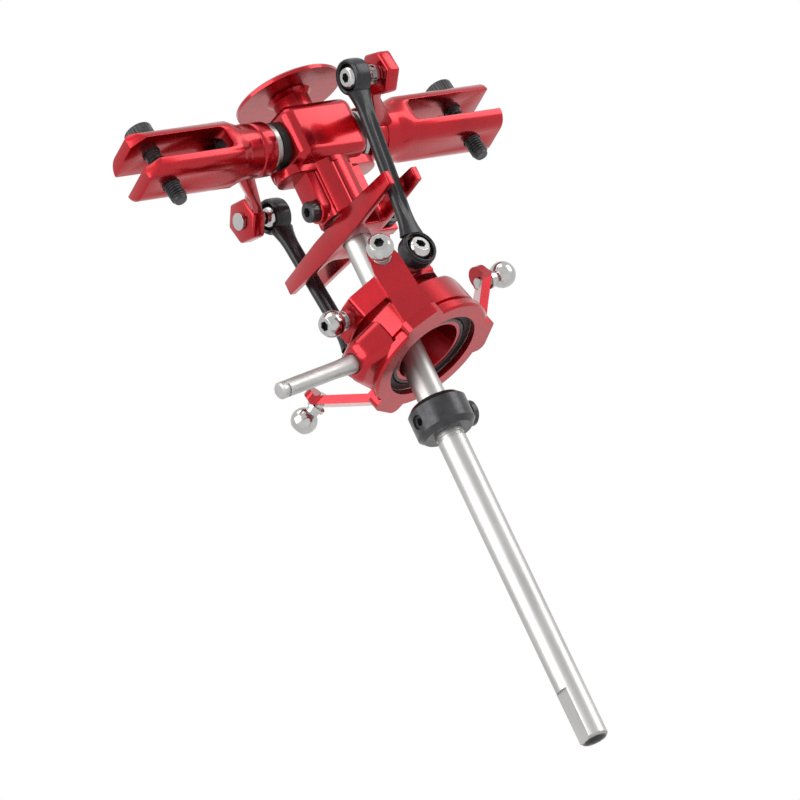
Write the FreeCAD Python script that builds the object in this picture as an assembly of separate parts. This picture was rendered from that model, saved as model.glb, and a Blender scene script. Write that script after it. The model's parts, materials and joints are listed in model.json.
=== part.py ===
import FreeCAD, Part
import math
import os

# Rotor head and swashplate of a 450-class model helicopter, in mm.
# Origin: centre of the main shaft's lower end. +Z up the shaft, +X out along the right blade grip.

V = FreeCAD.Vector
X_AXIS, Y_AXIS, Z_AXIS = V(1, 0, 0), V(0, 1, 0), V(0, 0, 1)
ORIGIN = V(0, 0, 0)

# ---- driving dimensions -------------------------------------------------------------------
SHAFT_R = 2.5
GROUND_R = 2.48                # upper length, ground for the sliding uniball
GROUND_FROM = 57.5
SHAFT_TOP = 111.0
FLAT_LENGTH = 9.6
FLAT_DEPTH = 0.5
RUN = 0.05                      # radial clearance of a running fit
GAP = 0.1                       # side clearance between faces that turn past each other

COLLAR_R, COLLAR_LOW, COLLAR_TOP = 5.2, 58.8, 64.8
COLLAR_MID = (COLLAR_LOW + COLLAR_TOP) / 2
COLLAR_SCREW_R = 1.25
HUB_BOLT_Z, HUB_BOLT_R = 103.3, 0.95

FEATHER_Z = 116.3               # height of the feathering axis
LEAN = -10.35                   # cyclic lean of both grips about X, degrees
DROOP = 3.65                    # pitch arm below the slot plane, degrees
PITCH_ARM = 17.5                # feathering axis to pitch ball
BLADE_BOLT_X, BLADE_BOLT_R = 31.9, 1.5

SWASH_Z = 83.7                  # tilt centre of the swashplate
TILT_X, TILT_Y = -13.8, -7.8    # modelled attitude, degrees
LINK_BALL_R = 13.2              # shaft axis to the balls of the rotating ring
SERVO_BALL_R = 24.4
BALL_R = 2.3
STUD_SHANK_R = 1.0               # shank of every ball stud
ARM_ANGLES = {"right": -4.5, "near": -124.5, "far": 115.5}
PIN_ANGLE = 175.5

GRIP_POSE = FreeCAD.Placement(V(0, 0, FEATHER_Z), FreeCAD.Rotation(X_AXIS, LEAN))
HALF_TURN = FreeCAD.Placement(ORIGIN, FreeCAD.Rotation(Z_AXIS, 180))
SWASH_POSE = FreeCAD.Placement(
    V(0, 0, SWASH_Z),
    FreeCAD.Rotation(X_AXIS, TILT_X).multiply(FreeCAD.Rotation(Y_AXIS, TILT_Y)))


# ---- shape helpers ------------------------------------------------------------------------
def drum(radius, low, high):
    return Part.makeCylinder(radius, high - low, V(0, 0, low))


def turned(outline):
    """Solid turned about Z from (radius, height) corners."""
    corners = [V(r, 0, z) for r, z in outline]
    face = Part.Face(Part.makePolygon(corners + corners[:1]))
    return face.revolve(ORIGIN, Z_AXIS, 360)


def tube(outer, inner, low, high, chamfer=0.0):
    return turned([(inner, low), (outer - chamfer, low), (outer, low + chamfer),
                   (outer, high - chamfer), (outer - chamfer, high), (inner, high)])


def slab(corners, direction):
    """Straight extrusion of a flat outline."""
    return Part.Face(Part.makePolygon(corners + corners[:1])).extrude(direction)


def block(x, y, z):
    """Box from three (low, high) pairs."""
    return Part.makeBox(x[1] - x[0], y[1] - y[0], z[1] - z[0], V(x[0], y[0], z[0]))


def aimed(shape, place, direction):
    """Moves a shape built on +Z so that it stands at place and points along direction."""
    moved = shape.copy()
    swing = FreeCAD.Rotation(Z_AXIS, direction)
    moved.Placement = FreeCAD.Placement(place, swing).multiply(shape.Placement)
    return moved


def posed(shape, *placements):
    moved = shape.copy()
    for placement in placements:
        moved.Placement = placement.multiply(moved.Placement)
    return moved


def turned_about_z(shape, degrees):
    return posed(shape, FreeCAD.Placement(ORIGIN, FreeCAD.Rotation(Z_AXIS, degrees)))


def hexagon_prism(across_flats, low, high):
    radius = across_flats / math.sqrt(3)
    corners = [V(radius * math.cos(math.radians(a)), radius * math.sin(math.radians(a)), low)
               for a in range(0, 360, 60)]
    return slab(corners, V(0, 0, high - low))


def cap_screw(shank_r, length, head_r, head_height, socket):
    """Cap screw with its head seat at z 0, head upwards."""
    edge = 0.15 * head_r
    body = turned([(0, -length), (shank_r - 0.2, -length), (shank_r, 0.2 - length), (shank_r, 0),
                   (head_r, 0), (head_r, head_height - edge), (head_r - edge, head_height),
                   (0, head_height)])
    return body.cut(hexagon_prism(socket, head_height * 0.4, head_height + 1))


def ball_stud(neck, tail, shank_r=1.0, flange_r=1.8):
    """Ball stud with its flange on z 0 and the ball centre neck above it; the ball has a hex socket."""
    neck_r, tip_r = 1.15, 1.5
    ball_foot = neck - math.sqrt(BALL_R ** 2 - neck_r ** 2)
    ball_tip = neck + math.sqrt(BALL_R ** 2 - tip_r ** 2)
    flange = min(0.6, ball_foot * 0.6)
    lower = [V(neck_r, 0, flange), V(flange_r, 0, flange), V(flange_r, 0, 0), V(shank_r, 0, 0),
             V(shank_r, 0, -tail), V(0, 0, -tail), V(0, 0, ball_tip), V(tip_r, 0, ball_tip)]
    arc = Part.Arc(V(neck_r, 0, ball_foot), V(BALL_R, 0, neck), V(tip_r, 0, ball_tip)).toShape()
    wire = Part.Wire([Part.makeLine(V(neck_r, 0, ball_foot), lower[0])]
                     + Part.makePolygon(lower).Edges + [arc])
    stud = Part.Face(wire).revolve(ORIGIN, Z_AXIS, 360)
    return stud.cut(hexagon_prism(1.5, ball_tip - 1.4, ball_tip + 1))


# ---- main shaft and collar ----------------------------------------------------------------
def main_shaft():
    """Shaft with a flat at its foot and a grinding relief below the upper length."""
    edge, relief_r, relief_width = 0.4, 2.25, 0.7
    shaft = turned([(0, 0), (SHAFT_R - edge, 0), (SHAFT_R, edge), (SHAFT_R, GROUND_FROM),
                    (relief_r, GROUND_FROM), (relief_r, GROUND_FROM + relief_width),
                    (GROUND_R, GROUND_FROM + relief_width), (GROUND_R, SHAFT_TOP - edge),
                    (GROUND_R - edge, SHAFT_TOP), (0, SHAFT_TOP)])
    flat = block((-2 * SHAFT_R, FLAT_DEPTH - SHAFT_R), (-SHAFT_R, SHAFT_R), (-1, FLAT_LENGTH))
    bolt_hole = aimed(drum(HUB_BOLT_R, -SHAFT_R, SHAFT_R), V(0, 0, HUB_BOLT_Z), X_AXIS)
    return shaft.cut(flat).cut(bolt_hole)


def shaft_collar():
    collar = tube(COLLAR_R, GROUND_R, COLLAR_LOW, COLLAR_TOP, 0.9)
    screw_hole = aimed(drum(COLLAR_SCREW_R, -COLLAR_R, COLLAR_R), V(0, 0, COLLAR_MID), X_AXIS)
    return collar.cut(screw_hole)


def collar_grub():
    grub = drum(COLLAR_SCREW_R, SHAFT_R, COLLAR_R - 0.5)
    grub = grub.cut(hexagon_prism(1.3, COLLAR_R - 1.6, COLLAR_R))
    return aimed(grub, V(0, 0, COLLAR_MID), -X_AXIS)


def collar_screw():
    screw = cap_screw(COLLAR_SCREW_R, COLLAR_R - SHAFT_R, 2.2, 1.3, 1.5)
    return aimed(screw, V(COLLAR_R, 0, COLLAR_MID), X_AXIS)


# ---- head block ---------------------------------------------------------------------------
BLOCK_X, BLOCK_Y = 7.2, 6.0
BLOCK_LOW, BLOCK_TOP = FEATHER_Z - 5.5, FEATHER_Z + 5.0
TUBE_R, TUBE_LOW = 4.7, 101.0
BOLT_SEAT = 0.9                 # seats of the clamp bolt, proud of the tube
TAB_REACH = 9.85                # stop tabs end short of the grips' necks
DAMPER_R = 3.3
SPINDLE_R = 2.0


def head_block():
    corner = 2.0
    plan = [V(BLOCK_X, corner - BLOCK_Y, 0), V(BLOCK_X, BLOCK_Y - corner, 0),
            V(BLOCK_X - corner, BLOCK_Y, 0), V(corner - BLOCK_X, BLOCK_Y, 0),
            V(-BLOCK_X, BLOCK_Y - corner, 0), V(-BLOCK_X, corner - BLOCK_Y, 0),
            V(corner - BLOCK_X, -BLOCK_Y, 0), V(BLOCK_X - corner, -BLOCK_Y, 0)]
    body = slab(plan, V(0, 0, BLOCK_TOP - BLOCK_LOW))
    body.translate(V(0, 0, BLOCK_LOW))
    side = [V(-BLOCK_X, -BLOCK_Y, BLOCK_LOW + 1.6), V(-BLOCK_X, 1.6 - BLOCK_Y, BLOCK_LOW),
            V(-BLOCK_X, BLOCK_Y - 1.6, BLOCK_LOW), V(-BLOCK_X, BLOCK_Y, BLOCK_LOW + 1.6),
            V(-BLOCK_X, BLOCK_Y, BLOCK_TOP - corner), V(-BLOCK_X, BLOCK_Y - corner, BLOCK_TOP),
            V(-BLOCK_X, corner - BLOCK_Y, BLOCK_TOP), V(-BLOCK_X, -BLOCK_Y, BLOCK_TOP - corner)]
    body = body.common(slab(side, V(2 * BLOCK_X, 0, 0)))
    body = body.fuse(head_tabs()).fuse(fluted_tube()).fuse(bolt_boss())
    shaft_bore = drum(GROUND_R, TUBE_LOW - 1, SHAFT_TOP)
    spindle_bore = aimed(drum(DAMPER_R, -BLOCK_X - 1, BLOCK_X + 1), V(0, 0, FEATHER_Z), X_AXIS)
    bolt_bore = aimed(drum(HUB_BOLT_R, -2 * TUBE_R, 2 * TUBE_R), V(0, 0, HUB_BOLT_Z), X_AXIS)
    post_bore = drum(POST_SCREW_R, FEATHER_Z, BLOCK_TOP + 1)
    return body.cut(shaft_bore).cut(spindle_bore).cut(bolt_bore).cut(post_bore)


def head_tabs():
    """Rounded stop tabs under the two spindle ends."""
    round_r, thick, proud = 3.0, 1.6, 1.2
    centre = TAB_REACH - round_r
    bar = block((-centre, centre), (-round_r, round_r), (0, thick))
    for side in (-1, 1):
        bar = bar.fuse(Part.makeCylinder(round_r, thick, V(side * centre, 0, 0)))
    bar.translate(V(0, 0, BLOCK_LOW - proud))
    return bar


def fluted_tube():
    """Lower tube that grips the shaft, with rounded flutes along it."""
    flute_r, flute_depth = 1.0, 0.45
    body = drum(TUBE_R, TUBE_LOW, BLOCK_LOW + 1)
    for angle in (-150, -100, -50, 50, 100, 150):
        flute = drum(flute_r, TUBE_LOW - 1, BLOCK_LOW - 0.8)
        flute.translate(V(TUBE_R + flute_r - flute_depth, 0, 0))
        body = body.cut(turned_about_z(flute, angle))
    return body


def bolt_boss():
    """Round seats for the clamp bolt on both sides, with a rib up to the block."""
    half, reach = 2.2, TUBE_R + BOLT_SEAT
    boss = aimed(drum(half, -reach, reach), V(0, 0, HUB_BOLT_Z), X_AXIS)
    rib = block((-reach, reach), (-half, half), (HUB_BOLT_Z, BLOCK_LOW + 1))
    return boss.fuse(rib).cut(drum(GROUND_R, TUBE_LOW - 1, SHAFT_TOP))


def hub_bolt():
    seat = TUBE_R + BOLT_SEAT
    bolt = cap_screw(HUB_BOLT_R, 2 * seat + 1.2, 1.8, 1.7, 1.3)
    return aimed(bolt, V(-seat, 0, HUB_BOLT_Z), -X_AXIS)


# ---- head button --------------------------------------------------------------------------
BUTTON_R, BUTTON_LOW, BUTTON_THICK = 9.5, 125.2, 0.9
POST_R, POST_SCREW_R = 3.2, 1.5


def head_button():
    top = BUTTON_LOW + BUTTON_THICK
    edge = 0.3
    return turned([(POST_SCREW_R, BLOCK_TOP), (POST_R, BLOCK_TOP), (POST_R, BUTTON_LOW - 0.8),
                   (POST_R + 0.8, BUTTON_LOW), (BUTTON_R, BUTTON_LOW), (BUTTON_R, top - edge),
                   (BUTTON_R - edge, top), (POST_SCREW_R, top)])


def button_screw():
    top = BUTTON_LOW + BUTTON_THICK
    screw = cap_screw(POST_SCREW_R, top - FEATHER_Z - DAMPER_R - 0.5, 2.75, 1.6, 2.0)
    screw.translate(V(0, 0, top))
    return screw


# ---- follower arm -------------------------------------------------------------------------
ARM_Z, ARM_HALF = 98.6, 2.0
FORK_OUT, FORK_IN = 3.5, 2.25
FORK_REACH = 17.6
CLAMP_R, CLAMP_EAR, EAR_HALF = 5.0, 7.4, 2.4
CLAMP_SCREW_X, CLAMP_SCREW_R = 5.9, 0.95


def follower_arm():
    """Two tapered forks, long along Y, joined by a clamp ring that grips the shaft."""
    low, high = ARM_Z - ARM_HALF, ARM_Z + ARM_HALF
    tip, root = 1.1, 6.0        # half height at the fork ends; half length of full height
    slot_from = CLAMP_R + 3.0
    profile = [V(0, -root, low), V(0, root, low), V(0, FORK_REACH, ARM_Z - tip),
               V(0, FORK_REACH, ARM_Z + tip), V(0, root, high), V(0, -root, high),
               V(0, -FORK_REACH, ARM_Z + tip), V(0, -FORK_REACH, ARM_Z - tip)]
    bars = slab(profile, V(2 * FORK_OUT, 0, 0))
    bars.translate(V(-FORK_OUT, 0, 0))
    for side in (-1, 1):
        end = V(-FORK_OUT, side * FORK_REACH, ARM_Z)
        bars = bars.fuse(Part.makeCylinder(tip, 2 * FORK_OUT, end, X_AXIS))
        slot = block((-FORK_IN, FORK_IN), (slot_from, FORK_REACH + 5), (low - 1, high + 1))
        slot = slot.fuse(Part.makeCylinder(FORK_IN, high - low + 2, V(0, slot_from, low - 1)))
        bars = bars.cut(turned_about_z(slot, 0 if side > 0 else 180))
    ear = block((0, CLAMP_EAR), (-EAR_HALF, EAR_HALF), (low, high))
    clamp = drum(CLAMP_R, low, high).fuse(ear)
    split = block((GROUND_R - 0.5, CLAMP_EAR + 1), (-0.4, 0.4), (low - 1, high + 1))
    screw_from = V(CLAMP_SCREW_X, -1.5 * EAR_HALF, ARM_Z)
    screw_bore = Part.makeCylinder(CLAMP_SCREW_R, 3 * EAR_HALF, screw_from, Y_AXIS)
    return bars.fuse(clamp).cut(drum(GROUND_R, low - 1, high + 1)).cut(split).cut(screw_bore)


def follower_screw():
    screw = cap_screw(CLAMP_SCREW_R, 2 * EAR_HALF, 1.45, 1.4, 1.3)
    return aimed(screw, V(CLAMP_SCREW_X, -EAR_HALF, ARM_Z), -Y_AXIS)


# ---- feathering spindle -------------------------------------------------------------------
DAMPER_FACE, WASHER_FACE, NECK_FACE = 8.6, 9.9, 10.0
FLANGE_R = 4.2
SPINDLE_HALF = 16.9
SPINDLE_SCREW_R, SPINDLE_SCREW_LENGTH = 1.5, 7.0


def damper():
    """Rubber ring in the head block; its flange stands out of the side face."""
    return turned([(SPINDLE_R + RUN, BLOCK_X - 3.5), (DAMPER_R, BLOCK_X - 3.5), (DAMPER_R, BLOCK_X),
                   (FLANGE_R, BLOCK_X), (FLANGE_R, DAMPER_FACE), (SPINDLE_R + RUN, DAMPER_FACE)])


def neck_washer():
    return tube(FLANGE_R, SPINDLE_R, DAMPER_FACE + GAP, WASHER_FACE, 0.2)


def feathering_spindle():
    edge = 0.3
    rod = turned([(0, -SPINDLE_HALF), (SPINDLE_R - edge, -SPINDLE_HALF),
                  (SPINDLE_R, edge - SPINDLE_HALF), (SPINDLE_R, SPINDLE_HALF - edge),
                  (SPINDLE_R - edge, SPINDLE_HALF), (0, SPINDLE_HALF)])
    for side in (-1, 1):
        face = V(0, 0, side * SPINDLE_HALF)
        rod = rod.cut(Part.makeCylinder(SPINDLE_SCREW_R, SPINDLE_SCREW_LENGTH, face, V(0, 0, -side)))
    return rod


def spindle_screw():
    screw = cap_screw(SPINDLE_SCREW_R, SPINDLE_SCREW_LENGTH, 2.6, 1.9, 2.0)
    screw.translate(V(0, 0, SPINDLE_HALF))
    return screw


# ---- blade grip ---------------------------------------------------------------------------
NECK_R, BEARING_R = 4.7, 4.0
NECK_END = 16.0
FORK_TIP = 37.4
FORK_HALF_Y, FORK_HALF_Z = 4.9, 4.7
SLOT_HALF = 2.5
SLOT_FLOOR = 19.3
SEAT_X = 16.6                   # shoulder behind the thrust bearing
LUG_X, LUG_R, LUG_THICK = 5.7, 4.0, 2.6
RIVET_R, RIVET_HIGH = 1.5, 0.6


def fork():
    """Blade fork: a bar with a milled slot, turned down to the round neck at its root."""
    corner = 2.2
    plan = [V(NECK_END, -FORK_HALF_Y, 0), V(FORK_TIP, -FORK_HALF_Y, 0),
            V(FORK_TIP, FORK_HALF_Y - corner, 0), V(FORK_TIP - corner, FORK_HALF_Y, 0),
            V(NECK_END, FORK_HALF_Y, 0)]
    bar = slab(plan, V(0, 0, 2 * FORK_HALF_Z))
    bar.translate(V(0, 0, -FORK_HALF_Z))
    corner_r = math.hypot(FORK_HALF_Y, FORK_HALF_Z) + 0.2
    cone = turned([(0, NECK_END), (NECK_R + 0.1, NECK_END), (corner_r, NECK_END + 2.2),
                   (corner_r, FORK_TIP + 1), (0, FORK_TIP + 1)])
    return bar.common(aimed(cone, ORIGIN, X_AXIS))


def pitch_lug():
    """Hexagonal upright lug at the end of the pitch arm, axis along X."""
    lug = hexagon_prism(2 * LUG_R * math.cos(math.pi / 6), 0, LUG_THICK)
    return aimed(lug, V(LUG_X - LUG_THICK / 2, -PITCH_ARM, 0), X_AXIS)


def pitch_arm():
    """Flat arm from the neck, sloping inboard to its lug."""
    half, root_end = 1.9, 14.2
    outer, inner = LUG_X + LUG_THICK / 2, LUG_X - LUG_THICK / 2
    plan = [V(NECK_FACE, -2.5, -half), V(root_end, -2.5, -half), V(root_end, -5.0, -half),
            V(outer, 3.0 - PITCH_ARM, -half), V(outer, -PITCH_ARM, -half),
            V(inner, -PITCH_ARM, -half), V(inner, 3.4 - PITCH_ARM, -half),
            V(NECK_FACE, -5.2, -half)]
    arm = slab(plan, V(0, 0, 2 * half)).fuse(pitch_lug())
    return posed(arm, FreeCAD.Placement(ORIGIN, FreeCAD.Rotation(X_AXIS, DROOP)))


def blade_grip():
    """Grip with a grooved neck, a stepped bearing cavity and a slot for the blade root."""
    groove_r, groove_x, screw_well_r = NECK_R - 0.3, 12.7, 3.0
    neck = turned([(0, NECK_FACE), (NECK_R, NECK_FACE), (NECK_R, groove_x), (groove_r, groove_x + 0.2),
                   (groove_r, groove_x + 0.5), (NECK_R, groove_x + 0.7), (NECK_R, NECK_END + 1),
                   (0, NECK_END + 1)])
    grip = aimed(neck, ORIGIN, X_AXIS).fuse(fork()).fuse(pitch_arm())
    well = drum(screw_well_r, SEAT_X - 1, SLOT_FLOOR + 1)
    cavity = drum(BEARING_R, NECK_FACE - 1, SEAT_X).fuse(well)
    slot = block((SLOT_FLOOR, FORK_TIP + 1), (-FORK_HALF_Y - 1, FORK_HALF_Y + 1),
                 (-SLOT_HALF, SLOT_HALF))
    bolt_bore = Part.makeCylinder(BLADE_BOLT_R, 4 * FORK_HALF_Z, V(BLADE_BOLT_X, 0, -2 * FORK_HALF_Z))
    stud_bore = Part.makeCylinder(STUD_SHANK_R + RUN, 4 * LUG_THICK, V(0, -PITCH_ARM, 0), X_AXIS)
    stud_bore = posed(stud_bore, FreeCAD.Placement(ORIGIN, FreeCAD.Rotation(X_AXIS, DROOP)))
    return grip.cut(aimed(cavity, ORIGIN, X_AXIS)).cut(slot).cut(bolt_bore).cut(stud_bore)


def radial_bearing():
    return tube(BEARING_R, SPINDLE_R + RUN, NECK_FACE + 0.4, NECK_FACE + 2.9, 0.2)


def thrust_bearing():
    """Two grooved washers and a cage between them, turned as one ring."""
    low, high = NECK_FACE + 3.2, SEAT_X
    washer, cage_r = 1.0, BEARING_R - 0.4
    return turned([(SPINDLE_R + RUN, low), (BEARING_R, low), (BEARING_R, low + washer),
                   (cage_r, low + washer), (cage_r, high - washer), (BEARING_R, high - washer),
                   (BEARING_R, high), (SPINDLE_R + RUN, high)])


def blade_bolt():
    bolt = cap_screw(BLADE_BOLT_R, 13.6, 2.6, 2.6, 2.5)
    bolt.translate(V(BLADE_BOLT_X, 0, FORK_HALF_Z))
    return bolt


def pitch_stud():
    """Ball stud through the pitch lug, with a riveted end on the outboard face."""
    neck = LUG_X - LUG_THICK / 2 - GAP
    tail = LUG_THICK + 2 * GAP + RIVET_HIGH
    rivet = drum(RIVET_R, -tail, RIVET_HIGH - tail)
    stud = aimed(ball_stud(neck, tail, STUD_SHANK_R, 1.7).fuse(rivet), V(neck, 0, 0), -X_AXIS)
    stud.translate(V(0, -PITCH_ARM, 0))
    return posed(stud, FreeCAD.Placement(ORIGIN, FreeCAD.Rotation(X_AXIS, DROOP)))


# ---- links --------------------------------------------------------------------------------
EYE_R = 3.1
EYE_HALF = 1.4
UPPER_EYE_HALF = 1.6
OPEN_BORE = BALL_R + 0.32       # the open pivot of the closed linkage


def ring_ball(angle):
    """Centre of a ball on the rotating ring."""
    flat = V(math.cos(math.radians(angle)), math.sin(math.radians(angle)), 0) * LINK_BALL_R
    return SWASH_POSE.multVec(flat)


def pitch_ball(turn):
    return GRIP_POSE.multVec(turn.multVec(FreeCAD.Rotation(X_AXIS, DROOP).multVec(V(0, -PITCH_ARM, 0))))


def link(foot, top):
    """Moulded ball link: two ring ends at a right angle and a fluted flat rod."""
    run = top - foot
    length = run.Length
    wide, thin, waist = 1.65, 1.0, 1.35
    flute_half, flute_depth = 0.6, 0.45
    start, end = EYE_R - 0.3, length - EYE_R + 0.3
    outline = [V(-wide, -thin, start), V(wide, -thin, start), V(waist, -thin, length / 2),
               V(wide, -thin, end), V(-wide, -thin, end), V(-waist, -thin, length / 2)]
    rod = slab(outline, V(0, 2 * thin, 0))
    for side in (-1, 1):
        flute = block((-flute_half, flute_half), (-flute_depth, flute_depth),
                      (EYE_R + 1.6, length - EYE_R - 1.2))
        flute.translate(V(0, side * thin, 0))
        rod = rod.cut(flute)
    rod = aimed(rod, foot, run)
    lower = Part.makeCylinder(EYE_R, 2 * EYE_HALF, foot - Y_AXIS * EYE_HALF, Y_AXIS)
    upper = Part.makeCylinder(EYE_R, 2 * UPPER_EYE_HALF, top - X_AXIS * UPPER_EYE_HALF, X_AXIS)
    bore = Part.makeCylinder(OPEN_BORE, 4 * EYE_HALF, foot - Y_AXIS * 2 * EYE_HALF, Y_AXIS)
    socket = Part.makeSphere(BALL_R + RUN, top, X_AXIS)
    return rod.fuse(lower).fuse(upper).cut(bore).cut(socket)


# ---- swashplate, drawn level about the tilt centre ----------------------------------------
UNIBALL_R, UNIBALL_LOW, UNIBALL_TOP = 4.6, -3.6, 1.3
LINER_R, LINER_LOW, LINER_TOP = 5.4, -3.0, 1.0
CAVITY_R = LINER_R + RUN
RING_R, RING_LOW, RING_TOP = 9.3, -2.8, 1.6
WAIST_R, WAIST_LOW = 8.0, -4.3
BOSS_REACH, BOSS_HALF = 10.2, 3.3
SLEEVE_R, SLEEVE_LOW = 6.7, -10.9
MOUTH_R = 6.0
RETAINER_R, RETAINER_LOW = 6.6, 0.4
RACE_LOW, RACE_HIGH = -11.0, -7.0
RACE_IN, RACE_OUT, RACE_R = 7.4, 8.8, 9.6
STATOR_LOW, STATOR_TOP = -12.1, -4.6
STATOR_R, STATOR_BORE = 11.3, 8.8
ARM_LOW = -10.4                 # underside of the servo arms
SERVO_LUG_R, LUG_TOP, LUG_TOP_R = 20.9, 1.1, 1.9
SERVO_H = -2.0
PIN_H = -8.0
PIN_R, PIN_TIP_R = 1.75, 1.45
PIN_ROOT, PIN_STRAIGHT, PIN_END = 10.2, 18.5, 31.0


def uniball():
    ball = Part.makeSphere(UNIBALL_R).common(drum(UNIBALL_R + 1, UNIBALL_LOW, UNIBALL_TOP))
    ball = ball.cut(drum(GROUND_R + RUN, -2 * UNIBALL_R, 2 * UNIBALL_R))
    ball.translate(V(0, 0, SWASH_Z))
    return ball


def uniball_liner():
    shell = Part.makeSphere(LINER_R).cut(Part.makeSphere(UNIBALL_R + RUN))
    return shell.common(drum(LINER_R + 1, LINER_LOW, LINER_TOP))


def rotor_ring():
    """Turning ring: four stud bosses, a spherical seat and the sleeve that carries the bearing."""
    body = block((-RING_R, RING_R), (-RING_R, RING_R), (RING_LOW, RING_TOP))
    body = turned_about_z(body, 45).common(drum(BOSS_REACH, RING_LOW, RING_TOP))
    edge = 0.5
    for side_face in (0, 90):
        flat = BOSS_REACH - edge
        outline = [V(-BOSS_REACH, -BOSS_HALF, RING_LOW + edge), V(-flat, -BOSS_HALF, RING_LOW),
                   V(flat, -BOSS_HALF, RING_LOW), V(BOSS_REACH, -BOSS_HALF, RING_LOW + edge),
                   V(BOSS_REACH, -BOSS_HALF, RING_TOP - edge), V(flat, -BOSS_HALF, RING_TOP),
                   V(-flat, -BOSS_HALF, RING_TOP), V(-BOSS_REACH, -BOSS_HALF, RING_TOP - edge)]
        body = body.fuse(turned_about_z(slab(outline, V(0, 2 * BOSS_HALF, 0)), side_face))
    body = body.fuse(drum(WAIST_R, WAIST_LOW, RING_LOW + 1)).fuse(drum(SLEEVE_R, SLEEVE_LOW, WAIST_LOW + 1))
    seat = Part.makeSphere(CAVITY_R)
    mouth = turned([(0, SLEEVE_LOW - 0.01), (MOUTH_R, SLEEVE_LOW - 0.01), (4.1, -3.2), (0, -3.2)])
    top_bore = drum(RETAINER_R, RETAINER_LOW, RING_TOP + 1)
    body = body.cut(seat).cut(mouth).cut(top_bore)
    for angle in range(0, 360, 90):
        hole = aimed(drum(STUD_SHANK_R, RETAINER_R + 0.6, BOSS_REACH + 1), ORIGIN, X_AXIS)
        body = body.cut(turned_about_z(hole, angle))
    return body


def rotor_retainer():
    ring = tube(RETAINER_R, UNIBALL_R, RETAINER_LOW, RING_TOP, 0.2)
    return ring.cut(Part.makeSphere(CAVITY_R))


def ring_stud(angle):
    stud = ball_stud(LINK_BALL_R - BOSS_REACH, 2.4, STUD_SHANK_R, 1.7)
    return turned_about_z(aimed(stud, V(BOSS_REACH, 0, 0), X_AXIS), angle)


def servo_arm(angle):
    """Bent arm: a lobe of the ring's flange, a 45 degree slope and an upright lug with a round top."""
    half, thick = 2.65, 1.5
    inner_bend = thick * math.tan(math.pi / 8)
    root, foot = 9.9, 12.6      # radii where the arm starts and where it turns upwards
    rise = ARM_LOW + SERVO_LUG_R - foot
    shoulder = SERVO_H - 1.0
    side = [V(root, 0, ARM_LOW), V(foot, 0, ARM_LOW), V(SERVO_LUG_R, 0, rise), V(SERVO_LUG_R, 0, 3),
            V(SERVO_LUG_R - thick, 0, 3), V(SERVO_LUG_R - thick, 0, rise + inner_bend),
            V(foot - inner_bend, 0, ARM_LOW + thick), V(root, 0, ARM_LOW + thick)]
    arm = slab(side, V(0, 2 * half, 0))
    arm.translate(V(0, -half, 0))
    top_centre = LUG_TOP - LUG_TOP_R
    front = [V(0, -half, ARM_LOW - 1), V(0, half, ARM_LOW - 1), V(0, half, shoulder),
             V(0, LUG_TOP_R, top_centre), V(0, -LUG_TOP_R, top_centre), V(0, -half, shoulder)]
    round_top = Part.makeCylinder(LUG_TOP_R, 30, V(0, 0, top_centre), X_AXIS)
    arm = arm.common(round_top.fuse(slab(front, V(30, 0, 0))))
    hole = Part.makeCylinder(STUD_SHANK_R, 30, V(14, 0, SERVO_H), X_AXIS)
    return turned_about_z(arm.cut(hole).fuse(flange_lobe(root)), angle)


def flange_lobe(root):
    """Rounded rectangle of the flange that carries a servo arm."""
    half, reach, corner = 3.6, 12.9, 1.5
    top = ARM_LOW + 0.3
    lobe = block((root, reach - corner), (-half, half), (STATOR_LOW, top))
    for y in (corner - half, half - corner):
        lobe = lobe.fuse(Part.makeCylinder(corner, top - STATOR_LOW, V(reach - corner, y, STATOR_LOW)))
    return lobe.fuse(block((root, reach), (corner - half, half - corner), (STATOR_LOW, top)))


def stator_ring():
    """Fixed ring: flanged outside, bearing seat inside, three servo arms and the pin's seat."""
    flange_r, groove_r, edge = 11.6, 10.8, 0.4
    body = turned([(STATOR_BORE, STATOR_LOW), (flange_r - edge, STATOR_LOW), (flange_r, STATOR_LOW + edge),
                   (flange_r, -10.6), (groove_r, -10.3), (groove_r, -9.9), (STATOR_R, -9.6),
                   (STATOR_R, STATOR_TOP - edge), (STATOR_R - edge, STATOR_TOP),
                   (RACE_R, STATOR_TOP), (RACE_R, RACE_LOW), (STATOR_BORE, RACE_LOW)])
    for angle in ARM_ANGLES.values():
        body = body.fuse(servo_arm(angle).cut(drum(RACE_R + 0.8, STATOR_LOW - 1, LUG_TOP)))
    pin_seat = aimed(drum(PIN_R, PIN_ROOT, 20), V(0, 0, PIN_H), X_AXIS)
    return body.cut(turned_about_z(pin_seat, PIN_ANGLE))


def anti_rotation_pin():
    """Pin of the fixed ring: a tapered root, a straight guide length and a groove near its end."""
    groove_r, groove_from, groove_to, edge = PIN_TIP_R - 0.25, PIN_END - 1.6, PIN_END - 1.0, 0.3
    outline = [(0, PIN_ROOT), (PIN_R, PIN_ROOT), (PIN_R, 12.5), (PIN_TIP_R, PIN_STRAIGHT),
               (PIN_TIP_R, groove_from), (groove_r, groove_from), (groove_r, groove_to),
               (PIN_TIP_R, groove_to), (PIN_TIP_R, PIN_END - edge), (PIN_TIP_R - edge, PIN_END),
               (0, PIN_END)]
    return turned_about_z(aimed(turned(outline), V(0, 0, PIN_H), X_AXIS), PIN_ANGLE)


def servo_stud(angle):
    stud = ball_stud(SERVO_BALL_R - SERVO_LUG_R, 2.2, STUD_SHANK_R, 1.6)
    return turned_about_z(aimed(stud, V(SERVO_LUG_R, 0, SERVO_H), X_AXIS), angle)


def bearing_shield(low):
    return tube(RACE_OUT, RACE_IN + 0.1, low, low + 0.4)


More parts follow.
